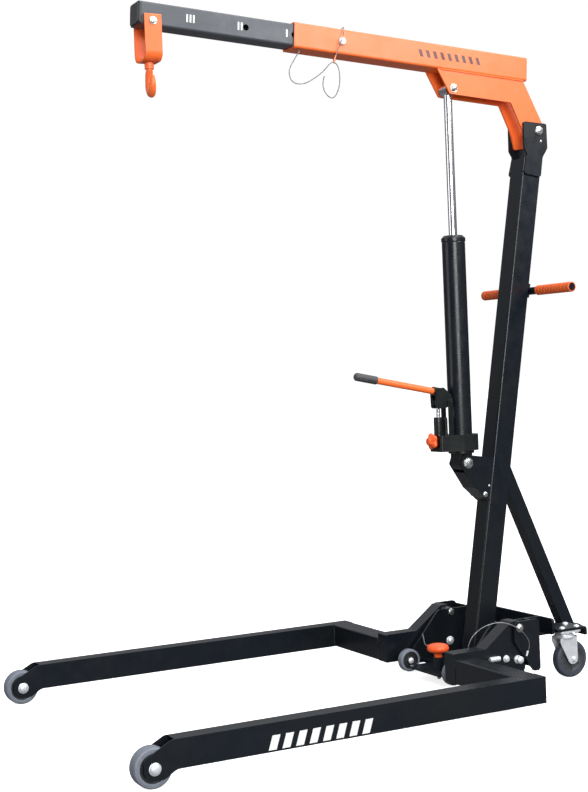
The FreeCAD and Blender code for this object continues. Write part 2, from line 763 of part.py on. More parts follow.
def swivel_hook():
    """Forged hook with its neck, shank and nut, free to turn in the strap."""
    pin = strap_point(0)
    bend = [(0, -15, 9.5), (-3, -26, 10), (-9, -38, 10.5), (-11.5, -52, 10.5), (-10, -66, 11),
            (-1, -80, 11), (14, -88, 11), (29, -81, 10), (38, -67, 8.5), (39.5, -53, 7),
            (37.5, -43, 4.5)]
    curve = Part.BSplineCurve()
    curve.interpolate([V(x, 0, z) for x, z, radius in bend])
    rings = []
    for x, z, radius in bend:
        ahead = curve.tangent(curve.parameter(V(x, 0, z)))[0]
        ring = Part.makeCircle(radius, V(0, 0, 0), V(0, 0, 1))
        turn = math.degrees(math.atan2(ahead.x, ahead.z))
        ring.Placement = FreeCAD.Placement(V(x, 0, z), FreeCAD.Rotation(V(0, 1, 0), turn))
        rings.append(Part.Wire(ring))
    feature = doc.addObject("Part::Feature", "Bend")
    feature.Shape = Part.makeLoft(rings, True, False)
    shank = rod(V(0, 0, -16), V(0, 0, 6), 8.5)
    neck = rod(V(0, 0, -18), V(0, 0, -1.2), 13)
    nut = rod(V(0, 0, 5.4), V(0, 0, 17), 13)
    whole = fuse(feature, shank, neck, nut)
    whole.Placement = FreeCAD.Placement(V(0, pin.y, pin.z - 107.5),
                                        FreeCAD.Rotation(V(0, 0, 1), SIZE["hook_turn"]))
    return whole


def boom_lock_pin():
    """Cross pin that locks the sliding boom: head, short shank and pull ring."""
    along = SIZE["lock_along"]
    mid = SIZE["boom_mid"]
    head = turned([(0, 0), (12, 0), (12, 5, 1.5), (9, 9, 3), (0, 9)],
                  boom_point(37.4, along, mid), V(1, 0, 0))
    shank = rod(boom_point(33.6, along, mid), boom_point(38, along, mid), 8)
    return fuse(head, shank)


keep(boom_tube(), "boom_tube")
keep(boom_arm(), "boom_arm")
keep(ram_top_bolts(), "ram_top_bolts")
keep(sliding_boom(), "sliding_boom")
keep(boom_end_cap(), "boom_end_cap")
keep(hook_pin(), "hook_pin")
keep(hook_strap(), "hook_strap")
keep(swivel_hook(), "swivel_hook")
keep(boom_lock_pin(), "boom_lock_pin")


# ---------------------------------------------------------------- ram and pump

def ram_cylinder():
    """Ram barrel, hollow for the piston, with the gland nut at its top."""
    y = SIZE["ram_y"]
    rad = SIZE["ram_rad"]
    profile = [(13.05, 1372), (13.05, 1336), (30, 1336), (30, 775), (0, 775), (0, 757),
               (rad, 757), (rad, 1350), (rad - 0.5, 1352), (rad + 1.5, 1354), (rad + 1.5, 1364),
               (rad - 6, 1372)]
    return turned(profile, at(0, y, 0), V(0, 0, 1))


def ram_rod():
    """Chrome rod with its piston below and the plain eye at its top."""
    y = SIZE["ram_y"]
    top = SIZE["ram_top_z"]
    shaft = rod(at(0, y, 1196), at(0, y, top - 14), "Sizes.rod_rad")
    piston = turned([(0, 1176), (29.6, 1176, 1), (29.6, 1206, 1), (0, 1206)],
                    at(0, y, 0), V(0, 0, 1))
    eye = rod(at(-19, y, top), at(19, y, top), 20)
    return cut(fuse(shaft, piston, eye), rod(at(-25, y, top), at(25, y, top), 9))


def pump_block():
    """Pump block at the foot of the ram, with the lug for the lower pivot."""
    y = SIZE["ram_y"]
    z = SIZE["ram_low_z"]
    outline = [(-50, y - 20, 14), (-32, 1181, 8), (32, 1181, 8), (50, y - 20, 14),
               (50, y + 50, 40), (-50, y + 50, 40)]
    block = floor_plate(outline, 707, 50)
    neck = rod(at(0, y, 698), at(0, y, 707), 40)
    lug = side_plate([(y - 24, 699), (y + 24, 699), (y + 24, z - 24, 23.5),
                      (y - 24, z - 24, 23.5)], -24, 48)
    bore = rod(at(-30, y, z), at(30, y, z), 8.05)
    return cut(fuse(block, neck, lug), bore)


def pump_cylinders():
    """Pump barrel, valve post and the two fulcrum links, standing on the block."""
    barrel = turned([(6.3, 760), (6.3, 813), (13.5, 813, 2), (14, 800), (14, 757), (0, 757),
                     (0, 760)], at(0, 1195, 0), V(0, 0, 1))
    post = turned([(0, 757), (6, 757), (6, 806), (4, 812), (0, 812)],
                  at(0, 1222, 0), V(0, 0, 1))
    links = []
    for x_low in (-22, 17.4):
        links.append(side_plate([(1221, 757), (1237, 757), (1237, 870, 7.9), (1221, 870, 7.9)],
                                x_low, 4.6, [(1229, 862, 5.05)]))
    return group(barrel, post, *links)


def pump_piston():
    """Bright pump piston; its top runs between the lever socket's cheeks."""
    return turned([(0, 784), (6.25, 784), (6.25, 850), (8, 852), (8, 868, 3), (0, 868)],
                  at(0, 1195, 0), V(0, 0, 1))


LEVER_RISE = 11.5


def lever_point(along, above=0.0):
    """A point counted forward along the pump lever from over its fulcrum."""
    rise = math.radians(LEVER_RISE)
    y = 1230 - along * math.cos(rise) + above * math.sin(rise)
    z = 884 + along * math.sin(rise) + above * math.cos(rise)
    return at(0, y, z)


def lever_socket():
    """Socket of the pump lever: a sleeve on two cheeks that turn on the fulcrum pin."""
    clear = rod(lever_point(18), lever_point(60), 10.1)
    sleeve = rod(lever_point(15), lever_point(52), 14)
    outline = [(1181, 840, 8), (1179, 902, 6), (1210, 904, 8), (1236.5, 880, 8), (1236.5, 853, 8),
               (1214, 840, 8)]
    cheeks = [side_plate(outline, x_low, 6) for x_low in (-16.6, 10.6)]
    pin = rod(at(-25, 1229, 862), at(25, 1229, 862), 5)
    return fuse(cut(fuse(sleeve, *cheeks), clear), pin)


def pump_lever():
    """Orange pump lever tube."""
    outer = rod(lever_point(19), lever_point(318), 10)
    return cut(outer, rod(lever_point(18), lever_point(319), 7.5))


def pump_grip():
    """Black grip on the lever's end."""
    body = turned([(10.05, 0), (12.4, 0, 1), (12.4, 70, 4), (8, 76, 4), (0, 76), (0, 66),
                   (10.05, 66)], lever_point(256), lever_point(1) - lever_point(0))
    return body


def release_knob():
    """Orange release knob on the front of the pump block, a five-lobed star."""
    y = 1180.6
    shape = [(0, 0), (9, 0), (9, 5), (24, 5, 3), (26, 13, 6), (13, 25, 5), (0, 28)]
    knob = turned(shape, at(0, y, 740), V(0, -1, 0))
    tools = []
    for k in range(5):
        turn = math.radians(72 * k + 36)
        x = 33 * math.sin(turn)
        z = 740 + 33 * math.cos(turn)
        tools.append(rod(at(x, y + 1, z), at(x, y - 30, z), 12))
    return cut(knob, *tools)


keep(ram_cylinder(), "ram_cylinder")
keep(ram_rod(), "ram_rod")
keep(pump_block(), "pump_block")
keep(pump_cylinders(), "pump_cylinders")
keep(pump_piston(), "pump_piston")
keep(lever_socket(), "lever_socket")
keep(pump_lever(), "pump_lever")
keep(pump_grip(), "pump_grip")
keep(release_knob(), "release_knob")


# ---------------------------------------------------------------- wire lanyards

def lanyard(label, route, thick):
    """A limp wire: straight runs joined by tangent arcs, swept as a round tube."""
    points = [at(*p) for p in route]
    pieces = []
    here = points[0]
    radii = []
    for before, corner, after in zip(points, points[1:], points[2:]):
        back = before - corner
        ahead = after - corner
        turn = math.pi - back.getAngle(ahead)
        reach = 0.45 * min(back.Length, ahead.Length)
        radii.append(round(reach / math.tan(turn / 2), 1))
        start = corner + back.normalize() * reach
        end = corner + ahead.normalize() * reach
        inward = (back + ahead).normalize()
        depth = radii[-1] * (1 / math.cos(turn / 2) - 1)
        pieces.append(Part.LineSegment(here, start).toShape())
        pieces.append(Part.Arc(start, corner + inward * depth, end).toShape())
        here = end
    pieces.append(Part.LineSegment(here, points[-1]).toShape())
    spine = Part.Wire(pieces)
    ring = Part.Wire(Part.makeCircle(thick / 2, points[0], points[1] - points[0]))
    tube = spine.makePipeShell([ring], True, False)
    expected = math.pi * thick ** 2 / 4 * spine.Length
    print(label, "length", round(spine.Length), "bends", radii,
          "volume ratio", round(tube.Volume / expected, 4))
    feature = doc.addObject("Part::Feature", "Wire")
    feature.Shape = tube
    return keep(feature, label)


lanyard("boom_lanyard", [
    (38, 742, 1899), (39, 722, 1872), (39, 702, 1838), (40, 712, 1806), (41, 748, 1802),
    (41, 786, 1822), (40, 820, 1846), (40, 846, 1876), (42, 866, 1868), (43, 872, 1832),
    (42, 866, 1792), (41, 846, 1764), (40, 822, 1778), (39, 812, 1808), (37, 822, 1832)], 3.2)
lanyard("leg_lanyard", [
    (199, 1138, 131.8), (203, 1140, 156), (210, 1162, 184), (219, 1200, 203),
    (230, 1242, 206), (239, 1284, 190), (244, 1318, 160), (245, 1332, 126),
    (240, 1319, 98)], 3.2)
lanyard("pin_lanyard", [
    (-140, 1196, 104), (-124, 1186, 122), (-100, 1170, 134), (-72, 1156, 128),
    (-48, 1144, 112), (-26, 1138, 108), (-6, 1138, 111)], 3.2)


# ---------------------------------------------------------------- check and write

doc.recompute()
for obj in doc.Objects:
    if "Invalid" in obj.State or "Error" in obj.State:
        raise RuntimeError("feature failed: " + obj.Label + " " + str(obj.State))
os.makedirs("parts", exist_ok=True)
for obj in nodes:
    if obj.Shape.isNull() or not obj.Shape.isValid():
        raise RuntimeError("bad shape: " + obj.Label)
    obj.Shape.exportStep("parts/" + obj.Label + ".step")
print(len(nodes), "sub-parts")
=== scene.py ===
import json
import math

import bmesh
import bpy
from mathutils import Matrix, Vector


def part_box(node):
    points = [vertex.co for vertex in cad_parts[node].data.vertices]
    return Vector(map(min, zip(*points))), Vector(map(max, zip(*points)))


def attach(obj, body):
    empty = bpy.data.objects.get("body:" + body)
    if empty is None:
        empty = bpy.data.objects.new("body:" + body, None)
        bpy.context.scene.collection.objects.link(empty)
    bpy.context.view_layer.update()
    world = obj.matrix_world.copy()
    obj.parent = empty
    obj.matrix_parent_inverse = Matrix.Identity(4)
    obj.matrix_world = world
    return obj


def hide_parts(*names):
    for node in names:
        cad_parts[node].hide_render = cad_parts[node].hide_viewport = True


# Folding workshop hoist crane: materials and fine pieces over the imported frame.
# It faces -Y, and +X is its left side. Sizes and stations of its pieces are in mm: x is
# across, y counts back from the front axle, z is the height. Lengths inside materials and in
# the studio are in metres.

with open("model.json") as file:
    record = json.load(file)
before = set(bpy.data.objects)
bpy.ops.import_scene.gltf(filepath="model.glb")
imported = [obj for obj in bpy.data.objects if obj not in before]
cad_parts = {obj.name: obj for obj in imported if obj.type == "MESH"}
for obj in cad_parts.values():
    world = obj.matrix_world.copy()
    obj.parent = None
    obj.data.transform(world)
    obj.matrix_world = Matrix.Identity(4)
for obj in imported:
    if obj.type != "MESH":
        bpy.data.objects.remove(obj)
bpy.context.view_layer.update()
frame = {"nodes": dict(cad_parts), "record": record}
nodes = frame["nodes"]

# The front axle's place along Y, in metres, from the box of its tyre.
axle_low, axle_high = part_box("left_front_tyre")
AXLE = (axle_low[1] + axle_high[1]) / 2

SIDES = ((1, "left"), (-1, "right"))
RISE = math.radians(3.6)        # the boom's slope at rest

# Axes across the crane, as (y, z).
PIVOT = (1587, 1702)
RAM_TOP = (1276, 1822)
RAM_FOOT = (1276, 668)
FOLD_HINGE = (1308, 180)
LOCK_BUSHING = (1302, 88)
PARKING_AXLE = (1132, 50)
STRAP_BOLT = (1312, 169)        # along the boom and above its line, for on_boom

# Upright axes, as (x, y), with x on the left side.
CASTER = (192, 1498)
PARKING_PIN = (34, 1140)

# Side faces, as x on the left side.
BOOM_FACE = 37
SLIDING_FACE = 32
CLEVIS_FACE = 43
BRACKET_FACE = 35
LEG_FACE = 556

SHELF_TOP = 158
SHELF_UNDER = 144
FRONT_HUB = (530, 0, 50)
WASHER = 2.2                    # thickness of a large washer
NUT_SEAT = 2.1                  # where the nut on it starts
WIRE_THICK = 3.2


def at(x, y, z):
    """A point from millimetres: across, station counted from the front axle, height."""
    return Vector((x / 1000, y / 1000 + AXLE, z / 1000))


def on_boom(x, along, above):
    """A point forward along the boom and above the line through its pivot."""
    y = PIVOT[0] - along * math.cos(RISE) + above * math.sin(RISE)
    z = PIVOT[1] + along * math.sin(RISE) + above * math.cos(RISE)
    return at(x, y, z)


# ---------------------------------------------------------------- materials

WORN_EDGE = 0.0016              # metres from an edge that its paint is worn


def new_material(name):
    """A material with one Principled shader: the material, its node tree, the shader."""
    mat = bpy.data.materials.new(name)
    mat.use_nodes = True
    tree = mat.node_tree
    tree.nodes.clear()
    out = tree.nodes.new("ShaderNodeOutputMaterial")
    bsdf = tree.nodes.new("ShaderNodeBsdfPrincipled")
    tree.links.new(bsdf.outputs[0], out.inputs[0])
    return mat, tree, bsdf


def noise_at(tree, scale, detail, rough=0.55, stretch=None):
    """Noise fixed to the object, with scale cells to the metre, stretched if asked."""
    coord = tree.nodes.new("ShaderNodeTexCoord")
    node = tree.nodes.new("ShaderNodeTexNoise")
    node.inputs["Scale"].default_value = scale
    node.inputs["Detail"].default_value = detail
    node.inputs["Roughness"].default_value = rough
    if stretch is None:
        tree.links.new(coord.outputs["Object"], node.inputs["Vector"])
    else:
        mapping = tree.nodes.new("ShaderNodeMapping")
        mapping.inputs["Scale"].default_value = stretch
        tree.links.new(coord.outputs["Object"], mapping.inputs["Vector"])
        tree.links.new(mapping.outputs[0], node.inputs["Vector"])
    return node.outputs[0]


def remap(tree, value, low, high, to_low, to_high):
    """Takes the range from low to high onto another, and holds the ends."""
    node = tree.nodes.new("ShaderNodeMapRange")
    for key, number in (("From Min", low), ("From Max", high), ("To Min", to_low),
                        ("To Max", to_high)):
        node.inputs[key].default_value = number
    tree.links.new(value, node.inputs["Value"])
    return node.outputs[0]


def mixed(tree, factor, first, second):
    """The first colour at factor 0 and the second at 1. A colour is a tuple or a socket."""
    node = tree.nodes.new("ShaderNodeMix")
    node.data_type = "RGBA"
    tree.links.new(factor, node.inputs["Factor"])
    for socket, colour in ((node.inputs["A"], first), (node.inputs["B"], second)):
        if isinstance(colour, tuple):
            socket.default_value = (*colour, 1)
        else:
            tree.links.new(colour, socket)
    return node.outputs["Result"]


def bumped(tree, height, strength, distance, after=None):
    """A normal bumped by a height, on top of an earlier one if given."""
    node = tree.nodes.new("ShaderNodeBump")
    node.inputs["Strength"].default_value = strength
    node.inputs["Distance"].default_value = distance
    tree.links.new(height, node.inputs["Height"])
    if after is not None:
        tree.links.new(after, node.inputs["Normal"])
    return node.outputs[0]


def edge_mask(tree, radius):
    """1 near sharp edges, from a rounded normal against the plain one."""
    bevel = tree.nodes.new("ShaderNodeBevel")
    bevel.samples = 4
    bevel.inputs["Radius"].default_value = radius
    geometry = tree.nodes.new("ShaderNodeNewGeometry")
    dot = tree.nodes.new("ShaderNodeVectorMath")
    dot.operation = "DOT_PRODUCT"
    tree.links.new(bevel.outputs[0], dot.inputs[0])
    tree.links.new(geometry.outputs["True Normal"], dot.inputs[1])
    return remap(tree, dot.outputs["Value"], 0.985, 0.86, 0.0, 1.0)


def painted(name, colour, other, rough, peel, worn=None, wear=0.0, coat=0.0, gloss=0.5):
    """Paint with slow colour drift, orange peel, dust in the roughness and worn edges."""
    mat, tree, bsdf = new_material(name)
    drift = remap(tree, noise_at(tree, 3.2, 3.0), 0.35, 0.68, 0.0, 1.0)
    tint = mixed(tree, drift, colour, other)
    dust = noise_at(tree, 26.0, 6.0, 0.62)
    if worn is not None:
        speckle = remap(tree, noise_at(tree, 55.0, 5.0, 0.6), 0.5, 0.66, 0.0, 1.0)
        mask = tree.nodes.new("ShaderNodeMath")
        mask.operation = "MULTIPLY"
        tree.links.new(speckle, mask.inputs[0])
        tree.links.new(edge_mask(tree, WORN_EDGE), mask.inputs[1])
        part = remap(tree, mask.outputs[0], 0.0, 1.0, 0.0, wear)
        tint = mixed(tree, part, tint, worn)
    tree.links.new(tint, bsdf.inputs["Base Color"])
    tree.links.new(remap(tree, dust, 0.3, 0.75, rough - 0.07, rough + 0.1),
                   bsdf.inputs["Roughness"])
    fine = bumped(tree, noise_at(tree, 620.0, 2.0, 0.5), peel, 0.0004)
    tree.links.new(bumped(tree, noise_at(tree, 34.0, 2.0, 0.4), 0.05, 0.002, fine),
                   bsdf.inputs["Normal"])
    bsdf.inputs["Specular IOR Level"].default_value = gloss
    bsdf.inputs["Coat Weight"].default_value = coat
    bsdf.inputs["Coat Roughness"].default_value = 0.12
    return mat


def plated(name, colour, other, rough, scratch, stretch=(1, 1, 1), metal=1.0):
    """Bare or plated metal with fine scratches and a cloudy tarnish."""
    mat, tree, bsdf = new_material(name)
    cloud = remap(tree, noise_at(tree, 48.0, 5.0, 0.6), 0.35, 0.7, 0.0, 1.0)
    tree.links.new(mixed(tree, cloud, colour, other), bsdf.inputs["Base Color"])
    bsdf.inputs["Metallic"].default_value = metal
    lines = noise_at(tree, 900.0, 3.0, 0.6, stretch)
    tree.links.new(remap(tree, lines, 0.3, 0.7, rough * 0.7, rough * 1.35),
                   bsdf.inputs["Roughness"])
    tree.links.new(bumped(tree, lines, scratch, 0.0001), bsdf.inputs["Normal"])
    return mat


def rubber(name, colour, other, rough, grain=700.0, depth=0.3):
    """Rubber or moulded plastic with scuffs and a fine grain."""
    mat, tree, bsdf = new_material(name)
    scuff = remap(tree, noise_at(tree, 60.0, 6.0, 0.65), 0.42, 0.66, 0.0, 1.0)
    tree.links.new(mixed(tree, scuff, colour, other), bsdf.inputs["Base Color"])
    tree.links.new(remap(tree, scuff, 0.0, 1.0, rough - 0.06, rough + 0.12),
                   bsdf.inputs["Roughness"])
    tree.links.new(bumped(tree, noise_at(tree, grain, 3.0, 0.6), depth, 0.0004),
                   bsdf.inputs["Normal"])
    return mat


BLACK = painted("frame_black", (0.0032, 0.0062, 0.0112), (0.0062, 0.0078, 0.0092), rough=0.3,
                peel=0.07, worn=(0.12, 0.12, 0.13), wear=0.4, coat=0.08, gloss=0.36)
ORANGE = painted("hoist_orange", (0.93, 0.165, 0.03), (0.9, 0.145, 0.024), rough=0.4,
                 peel=0.10, worn=(0.5, 0.2, 0.08), wear=0.35, coat=0.1)
INNER = painted("inner_boom", (0.05, 0.058, 0.07), (0.07, 0.079, 0.092), rough=0.4,
                peel=0.12, worn=(0.3, 0.3, 0.3), wear=0.4)
PUMP = painted("pump_black", (0.0045, 0.006, 0.006), (0.010, 0.0135, 0.0118), rough=0.33,
               peel=0.22, worn=(0.14, 0.14, 0.13), wear=0.5, coat=0.1, gloss=0.36)
KNOB = painted("knob_orange", (0.88, 0.115, 0.02), (0.84, 0.095, 0.016), rough=0.33, peel=0.1)
MARK_WHITE = painted("mark_white", (0.82, 0.82, 0.8), (0.74, 0.74, 0.72), rough=0.4, peel=0.05)
MARK_DARK = painted("mark_dark", (0.10, 0.035, 0.03), (0.13, 0.05, 0.04), rough=0.4, peel=0.05)

CHROME = plated("chrome", (0.84, 0.85, 0.87), (0.78, 0.79, 0.81), rough=0.17, scratch=0.012,
                stretch=(1, 1, 0.02))
ZINC = plated("zinc", (0.86, 0.88, 0.9), (0.74, 0.76, 0.78), rough=0.42, scratch=0.22, metal=0.6)
BOLT = plated("bolt_steel", (0.66, 0.66, 0.66), (0.44, 0.44, 0.44), rough=0.32, scratch=0.2)
WIRE = plated("wire", (0.30, 0.30, 0.31), (0.18, 0.18, 0.19), rough=0.5, scratch=0.3)
COPPER = plated("copper_crimp", (0.78, 0.30, 0.17), (0.6, 0.2, 0.11), rough=0.36, scratch=0.2)

GRIP = rubber("grip_orange", (0.72, 0.115, 0.018), (0.64, 0.1, 0.016), rough=0.62)
GRIP_BLACK = rubber("grip_black", (0.045, 0.046, 0.048), (0.065, 0.065, 0.066), rough=0.5)
TYRE = rubber("tyre_grey", (0.15, 0.17, 0.205), (0.18, 0.2, 0.235), rough=0.5, grain=900.0,
              depth=0.2)
TYRE_DARK = rubber("tyre_dark", (0.04, 0.048, 0.068), (0.055, 0.062, 0.082), rough=0.46)
HUB = rubber("hub_black", (0.016, 0.018, 0.021), (0.03, 0.032, 0.036), rough=0.38, grain=500.0,
             depth=0.15)
HUB_GREY = rubber("hub_grey", (0.05, 0.055, 0.06), (0.07, 0.075, 0.08), rough=0.42, grain=500.0,
                  depth=0.15)

SLOTS = {"frame_black": BLACK, "hoist_orange": ORANGE, "inner_boom": INNER,
         "pump_black": PUMP, "chrome": CHROME, "zinc": ZINC, "bolt_steel": BOLT,
         "wire": WIRE, "knob_orange": KNOB, "grip_orange": GRIP, "grip_black": GRIP_BLACK,
         "tyre_grey": TYRE, "tyre_dark": TYRE_DARK, "hub_black": HUB, "hub_grey": HUB_GREY}

# How far the edges of the carried-over CAD nodes are rounded.
ROUNDED = {"left_leg_tube": 4, "right_leg_tube": 4, "left_leg_hinge_arm": 3,
           "right_leg_hinge_arm": 3, "base_side_left": 1.6, "base_side_right": 1.6,
           "fold_lugs": 1.6, "base_floor": 1.6, "base_rear_plate": 1.6, "caster_shelf": 1.6,
           "mast_clevis": 1.6, "ram_bracket": 1.4, "mast_brace": 3, "boom_arm": 1.2,
           "hook_strap": 1.2, "pump_block": 5, "lever_socket": 2.4, "caster_mounts": 1,
           "brace_foot": 2, "boom_end_cap": 2.6}


def round_off(obj, width, angle, segments):
    """Rounds the edges that are sharper than an angle in degrees."""
    bevel = obj.modifiers.new("Rounded", "BEVEL")
    bevel.width = width / 1000
    bevel.segments = segments
    bevel.limit_method = "ANGLE"
    bevel.angle_limit = math.radians(angle)
    bevel.use_clamp_overlap = True
    bevel.harden_normals = True


def dress_nodes():
    """Gives every CAD node the material of its slot, and rounds the edges of some."""
    for entry in frame["record"]["subparts"]:
        node = nodes[entry["node"]]
        node.data.materials.clear()
        node.data.materials.append(SLOTS[entry["material_slot"]])
        if entry["node"] in ROUNDED:
            round_off(node, ROUNDED[entry["node"]], 40, 3)


# ---------------------------------------------------------------- mesh tools

ON_AXIS = 1e-6                  # a profile point nearer the axis than this is one vertex


def keep(obj, body, mat):
    """A finished piece: its material and its body."""
    obj.data.materials.clear()
    obj.data.materials.append(mat)
    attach(obj, body)
    return obj


def new_object(name, bm, smooth):
    """A mesh object from bm, smooth up to an angle in degrees, or flat if that is 0."""
    mesh = bpy.data.meshes.new(name)
    bmesh.ops.recalc_face_normals(bm, faces=bm.faces)
    bm.to_mesh(mesh)
    bm.free()
    obj = bpy.data.objects.new(name, mesh)
    bpy.context.scene.collection.objects.link(obj)
    if smooth:
        mesh.shade_smooth()
        mesh.set_sharp_from_angle(angle=math.radians(smooth))
    return obj


def facing(axis):
    """A rotation that takes +Z to the axis."""
    return Vector((0, 0, 1)).rotation_difference(Vector(axis).normalized()).to_matrix().to_4x4()


def add_turned(bm, profile, origin, axis, steps, ripple=None):
    """Adds a body of revolution from (radius, along) points. A ripple scales the radius."""
    stand = Matrix.Translation(origin) @ facing(axis)
    rings = []
    for radius, along in profile:
        ring = []
        if radius < ON_AXIS:
            ring = [bm.verts.new(stand @ Vector((0, 0, along / 1000)))] * steps
        else:
            for k in range(steps):
                turn = 2 * math.pi * k / steps
                r = radius / 1000
                if ripple is not None:
                    r *= ripple(turn, radius)
                ring.append(bm.verts.new(stand @ Vector((r * math.cos(turn),
                                                         r * math.sin(turn), along / 1000))))
        rings.append(ring)
    for a, b in zip(rings, rings[1:]):
        for k in range(steps):
            quad = [a[k], a[(k + 1) % steps], b[(k + 1) % steps], b[k]]
            unique = list(dict.fromkeys(quad))
            if len(unique) > 2:
                bm.faces.new(unique)


def turned(name, profile, origin, axis, steps, smooth, ripple=None):
    """A body of revolution as its own object."""
    bm = bmesh.new()
    add_turned(bm, profile, origin, axis, steps, ripple)
    return new_object(name, bm, smooth)


def add_prism(bm, outline, low, high, stand):
    """Adds a straight piece: an outline in the stand's XY, from low to high on its Z."""
    lower = [bm.verts.new(stand @ Vector((a / 1000, b / 1000, low / 1000))) for a, b in outline]
    upper = [bm.verts.new(stand @ Vector((a / 1000, b / 1000, high / 1000))) for a, b in outline]
    bm.faces.new(lower[::-1])
    bm.faces.new(upper)
    count = len(outline)
    for k in range(count):
        bm.faces.new([lower[k], lower[(k + 1) % count], upper[(k + 1) % count], upper[k]])


def polygon(count, radius):
    """The corners of a regular polygon."""
    return [(radius * math.cos(2 * math.pi * k / count), radius * math.sin(2 * math.pi * k / count))
            for k in range(count)]


def add_hex(bm, origin, axis, across, tall):
    """Adds a hexagon head with its chamfered crown."""
    corner = across / math.sqrt(3)
    stand = Matrix.Translation(origin) @ facing(axis)
    levels = [(corner, 0), (corner, tall * 0.78), (corner * 0.88, tall), (0, tall)]
    rings = []
    for radius, along in levels:
        if radius == 0:
            rings.append([bm.verts.new(stand @ Vector((0, 0, along / 1000)))] * 6)
            continue
        rings.append([bm.verts.new(stand @ Vector((a / 1000, b / 1000, along / 1000)))
                      for a, b in polygon(6, radius)])
    bm.faces.new(rings[0][::-1])
    for a, b in zip(rings, rings[1:]):
        for k in range(6):
            quad = list(dict.fromkeys([a[k], a[(k + 1) % 6], b[(k + 1) % 6], b[k]]))
            bm.faces.new(quad)


def weld(name, start, end, radius, body, mat=BLACK):
    """A weld bead along a straight run: overlapping scales pressed into the corner."""
    pitch = 5.0
    rings_per_scale = 4
    sides = 8
    run = end - start
    scales = max(2, int(run.length * 1000 / pitch))
    steps = scales * rings_per_scale
    stand = facing(run)
    bm = bmesh.new()
    rings = []
    for k in range(steps + 1):
        share = k / steps
        swell = 0.82 + 0.2 * abs(math.sin(math.pi * share * scales)) ** 0.6
        if k in (0, steps):
            swell = 0.25
        centre = start + run * share
        rings.append([bm.verts.new(centre + stand @ Vector((a / 1000, b / 1000, 0)))
                      for a, b in polygon(sides, radius * swell)])
    for a, b in zip(rings, rings[1:]):
        for k in range(sides):
            bm.faces.new([a[k], a[(k + 1) % sides], b[(k + 1) % sides], b[k]])
    bm.faces.new(rings[0][::-1])
    bm.faces.new(rings[-1])
    keep(new_object(name, bm, 60), body, mat)


# ---------------------------------------------------------------- fasteners

def add_washer(bm, origin, axis, outer, inner, thick):
    """Adds a washer with eased outer edges."""
    ring = [(inner, 0), (outer - 0.4, 0), (outer, 0.4), (outer, thick - 0.5),
            (outer - 0.5, thick), (inner, thick), (inner, 0)]
    add_turned(bm, ring, origin, axis, 40)


def add_dome(bm, origin, axis, radius, tall):
    """A domed head with a small flange and a socket."""
    flange = tall * 0.22
    shape = [(radius, 0), (radius, flange)]
    for k in range(1, 7):
        turn = math.radians(15 * k - 4)
        shape.append((radius * 0.94 * math.cos(turn) + 0.2,
                      flange + (tall - flange) * math.sin(turn)))
    socket = radius * 0.3
    shape += [(socket, tall), (socket, tall * 0.5), (0, tall * 0.46)]
    add_turned(bm, shape, origin, axis, 40)


def add_cap(bm, origin, axis, radius, tall):
    """A smooth push-on cap: a full dome on a thin skirt."""
    shape = [(radius, 0), (radius, tall * 0.16), (radius * 0.86, tall * 0.24)]
    for k in range(1, 9):
        turn = math.radians(90 * k / 8)
        shape.append((radius * 0.86 * math.cos(turn), tall * (0.24 + 0.76 * math.sin(turn))))
    add_turned(bm, shape, origin, axis, 48)


def add_thread(bm, origin, axis, radius, tall):
    """Adds the ringed end of a thread."""
    pitch = 1.2
    shape = [(radius, 0)]
    along = 0.0
    while along + pitch < tall:
        shape += [(radius, along + 0.35), (radius * 0.88, along + 0.75)]
        along += pitch
    shape += [(radius * 0.9, tall - 0.4), (radius * 0.7, tall), (0, tall)]
    add_turned(bm, shape, origin, axis, 28)


def add_nut(bm, origin, axis, across, tall, thread):
    """A lock nut: hexagon, rounded collar and the end of the thread."""
    add_hex(bm, origin, axis, across, tall * 0.72)
    way = Vector(axis).normalized()
    collar = [(thread + 0.4, 0), (across * 0.45, 0), (across * 0.45, tall * 0.2),
              (across * 0.38, tall * 0.3), (thread + 0.4, tall * 0.3)]
    add_turned(bm, collar, origin + way * (tall * 0.70 / 1000), axis, 32)
    add_thread(bm, origin + way * (tall * 0.5 / 1000), axis, thread, tall * 0.5)


def add_shaft(bm, origin, axis, radius, low, high, steps=32):
    """Adds a plain shaft from low to high along the axis."""
    add_turned(bm, [(0, low), (radius, low), (radius, high), (0, high)], origin, axis, steps)


def add_spacer(bm, origin, axis, inner, outer, tall, steps):
    """Adds a plain tube round a bolt."""
    section = [(inner, 0), (outer, 0), (outer, tall), (inner, tall), (inner, 0)]
    add_turned(bm, section, origin, axis, steps)


def through_bolt(bm, left, across, thread, washer, tall):
    """A bolt across the crane's middle plane, with a washer and a lock nut at both ends."""
    right = Vector((-left.x, left.y, left.z))
    for end, way in ((left, 1), (right, -1)):
        axis = (way, 0, 0)
        add_washer(bm, end, axis, washer, thread, WASHER)
        seat = end + Vector((way * NUT_SEAT / 1000, 0, 0))
        add_nut(bm, seat, axis, across, tall - WASHER, thread * 0.8)
    add_shaft(bm, right, (1, 0, 0), thread, 0, (left.x - right.x) * 1000)


